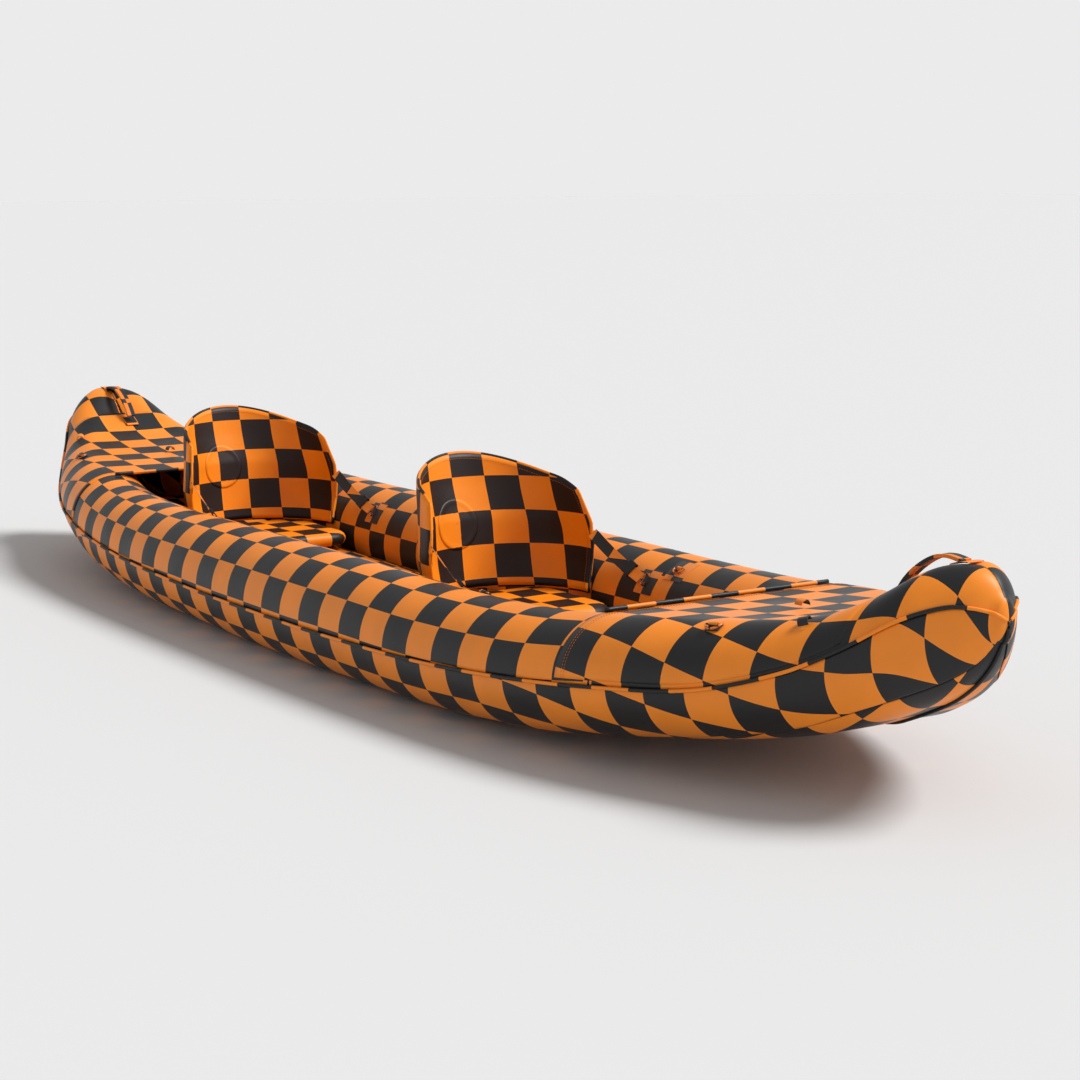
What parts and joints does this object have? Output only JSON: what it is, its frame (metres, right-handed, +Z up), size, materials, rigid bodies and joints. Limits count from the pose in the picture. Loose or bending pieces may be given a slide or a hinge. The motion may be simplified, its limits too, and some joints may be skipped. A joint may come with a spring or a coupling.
{
  "type": "inflatable kayak",
  "caption": "Long inflatable kayak with side tubes, a flat air floor, two seats with wrap-around backs, covered ends and grab handles.",
  "frame": {"origin": "on the ground under the middle of the hull, the centre of its footprint", "axes": "+X towards the bow, +Y to port, +Z up"},
  "size_m": [3.8204, 0.9088, 0.454],
  "materials": {
    "hull_fabric": "satin PVC-coated polyester, printed with an orange and charcoal check",
    "floor_fabric": "satin coated fabric, printed check",
    "seat_fabric": "satin laminated fabric over foam, printed check",
    "bladder_film": "coated film",
    "piping_cord": "coated piping",
    "webbing": "woven webbing",
    "ring_metal": "coated steel rod",
    "moulded_plastic": "moulded"
  },
  "bodies": {
    "hull": {"port_bladder": "bladder_film", "starboard_bladder": "bladder_film", "port_tube_cover": "hull_fabric", "starboard_tube_cover": "hull_fabric", "port_side_panel": "hull_fabric", "starboard_side_panel": "hull_fabric", "port_side_piping": "piping_cord", "starboard_side_piping": "piping_cord", "port_ring_patches": "webbing", "starboard_ring_patches": "webbing", "port_valve": "moulded_plastic", "starboard_valve": "moulded_plastic", "floor_valve": "moulded_plastic", "air_floor": "floor_fabric", "bottom_panel": "hull_fabric", "drain_fitting": "moulded_plastic", "front_cushion": "seat_fabric", "rear_cushion": "seat_fabric", "bow_deck": "hull_fabric", "bow_coaming_roll": "piping_cord", "bow_deck_tabs": "webbing", "bow_deck_loops": "webbing", "bow_handle_patches": "webbing", "bow_stem_piping": "piping_cord", "stern_deck": "hull_fabric", "stern_coaming_roll": "piping_cord", "stern_deck_tabs": "webbing", "stern_deck_loops": "webbing", "stern_handle_patches": "webbing", "stern_stem_piping": "piping_cord", "front_port_strap": "webbing", "front_starboard_strap": "webbing", "rear_port_strap": "webbing", "rear_starboard_strap": "webbing"},
    "front_backrest": {"front_backrest": "seat_fabric", "front_backrest_disc": "seat_fabric"},
    "rear_backrest": {"rear_backrest": "seat_fabric", "rear_backrest_disc": "seat_fabric"},
    "port_front_strap_ring": {"port_front_strap_ring": "ring_metal"},
    "port_rear_strap_ring": {"port_rear_strap_ring": "ring_metal"},
    "port_spare_ring": {"port_spare_ring": "ring_metal"},
    "starboard_front_strap_ring": {"starboard_front_strap_ring": "ring_metal"},
    "starboard_rear_strap_ring": {"starboard_rear_strap_ring": "ring_metal"},
    "starboard_spare_ring": {"starboard_spare_ring": "ring_metal"},
    "bow_port_deck_ring": {"bow_port_deck_ring": "ring_metal"},
    "bow_starboard_deck_ring": {"bow_starboard_deck_ring": "ring_metal"},
    "stern_port_deck_ring": {"stern_port_deck_ring": "ring_metal"},
    "stern_starboard_deck_ring": {"stern_starboard_deck_ring": "ring_metal"},
    "front_port_buckle": {"front_port_buckle": "moulded_plastic"},
    "front_starboard_buckle": {"front_starboard_buckle": "moulded_plastic"},
    "rear_port_buckle": {"rear_port_buckle": "moulded_plastic"},
    "rear_starboard_buckle": {"rear_starboard_buckle": "moulded_plastic"},
    "bow_handle": {"bow_handle": "webbing"},
    "stern_handle": {"stern_handle": "webbing"},
    "port_valve_cap": {"port_valve_cap": "moulded_plastic"},
    "starboard_valve_cap": {"starboard_valve_cap": "moulded_plastic"},
    "floor_valve_cap": {"floor_valve_cap": "moulded_plastic"},
    "drain_plug": {"drain_plug": "moulded_plastic"}
  },
  "joints": [
    {"name": "front_backrest_recline", "type": "hinge", "parent": "hull", "child": "front_backrest", "pos_m": [0.289, 0, 0.154], "axis": [0, -1, 0], "range_deg": [0, 16], "deforming": ["front_port_strap", "front_starboard_strap"]},
    {"name": "rear_backrest_recline", "type": "hinge", "parent": "hull", "child": "rear_backrest", "pos_m": [-0.911, 0, 0.154], "axis": [0, -1, 0], "range_deg": [0, 16], "deforming": ["rear_port_strap", "rear_starboard_strap"]},
    {"name": "port_front_strap_ring_swing", "type": "hinge", "parent": "hull", "child": "port_front_strap_ring", "pos_m": [0.60294, 0.21537, 0.20815], "axis": [0.0043, 0.6016, 0.7988], "range_deg": [0, 100]},
    {"name": "port_rear_strap_ring_swing", "type": "hinge", "parent": "hull", "child": "port_rear_strap_ring", "pos_m": [-0.59695, 0.21542, 0.20814], "axis": [-0.0042, 0.6016, 0.7988], "range_deg": [0, 100]},
    {"name": "port_spare_ring_swing", "type": "hinge", "parent": "hull", "child": "port_spare_ring", "pos_m": [0.67983, 0.24876, 0.24036], "axis": [-0.9996, 0.0272, -0.009], "range_deg": [0, 150]},
    {"name": "starboard_front_strap_ring_swing", "type": "hinge", "parent": "hull", "child": "starboard_front_strap_ring", "pos_m": [0.60294, -0.21537, 0.20815], "axis": [-0.0043, 0.6016, -0.7988], "range_deg": [0, 100]},
    {"name": "starboard_rear_strap_ring_swing", "type": "hinge", "parent": "hull", "child": "starboard_rear_strap_ring", "pos_m": [-0.59695, -0.21542, 0.20814], "axis": [0.0042, 0.6016, -0.7988], "range_deg": [0, 100]},
    {"name": "starboard_spare_ring_swing", "type": "hinge", "parent": "hull", "child": "starboard_spare_ring", "pos_m": [0.67983, -0.24876, 0.24036], "axis": [0.9996, 0.0272, 0.009], "range_deg": [0, 150]},
    {"name": "bow_port_deck_ring_swing", "type": "hinge", "parent": "hull", "child": "bow_port_deck_ring", "pos_m": [1.43529, 0.24489, 0.30044], "axis": [0.9348, -0.3374, 0.1113], "range_deg": [0, 150]},
    {"name": "bow_starboard_deck_ring_swing", "type": "hinge", "parent": "hull", "child": "bow_starboard_deck_ring", "pos_m": [1.43529, -0.24489, 0.30044], "axis": [-0.9348, -0.3374, -0.1113], "range_deg": [0, 150]},
    {"name": "stern_port_deck_ring_swing", "type": "hinge", "parent": "hull", "child": "stern_port_deck_ring", "pos_m": [-1.43529, 0.24489, 0.30044], "axis": [0.9348, 0.3374, -0.1113], "range_deg": [0, 150]},
    {"name": "stern_starboard_deck_ring_swing", "type": "hinge", "parent": "hull", "child": "stern_starboard_deck_ring", "pos_m": [-1.43529, -0.24489, 0.30044], "axis": [-0.9348, 0.3374, 0.1113], "range_deg": [0, 150]},
    {"name": "front_port_buckle_slide", "type": "slide", "parent": "hull", "child": "front_port_buckle", "axis": [-0.9098, -0.0453, 0.4126], "range_m": [-0.004, 0.05]},
    {"name": "front_starboard_buckle_slide", "type": "slide", "parent": "hull", "child": "front_starboard_buckle", "axis": [-0.9098, 0.0453, 0.4126], "range_m": [-0.004, 0.05]},
    {"name": "rear_port_buckle_slide", "type": "slide", "parent": "hull", "child": "rear_port_buckle", "axis": [-0.91, -0.0437, 0.4122], "range_m": [-0.004, 0.05]},
    {"name": "rear_starboard_buckle_slide", "type": "slide", "parent": "hull", "child": "rear_starboard_buckle", "axis": [-0.91, 0.0437, 0.4122], "range_m": [-0.004, 0.05]},
    {"name": "bow_handle_flop", "type": "hinge", "parent": "hull", "child": "bow_handle", "pos_m": [1.652, 0, 0.372], "axis": [0.8849, 0, 0.4657], "range_deg": [-20, 20]},
    {"name": "stern_handle_flop", "type": "hinge", "parent": "hull", "child": "stern_handle", "pos_m": [-1.652, 0, 0.372], "axis": [-0.8849, 0, 0.4657], "range_deg": [-20, 20]},
    {"name": "port_valve_cap_turn", "type": "hinge", "parent": "hull", "child": "port_valve_cap", "pos_m": [-0.05, 0.21211, 0.1905], "axis": [0, -0.8682, 0.4962], "range_deg": [0, 90]},
    {"name": "starboard_valve_cap_turn", "type": "hinge", "parent": "hull", "child": "starboard_valve_cap", "pos_m": [-0.05, -0.21211, 0.1905], "axis": [0, 0.8682, 0.4962], "range_deg": [0, 90]},
    {"name": "floor_valve_cap_turn", "type": "hinge", "parent": "hull", "child": "floor_valve_cap", "pos_m": [0.09, 0, 0.0921], "axis": [0, 0, 1], "range_deg": [0, 90]},
    {"name": "drain_plug_pull", "type": "slide", "parent": "hull", "child": "drain_plug", "axis": [0.2167, 0, 0.9762], "range_m": [0, 0.02]}
  ]
}
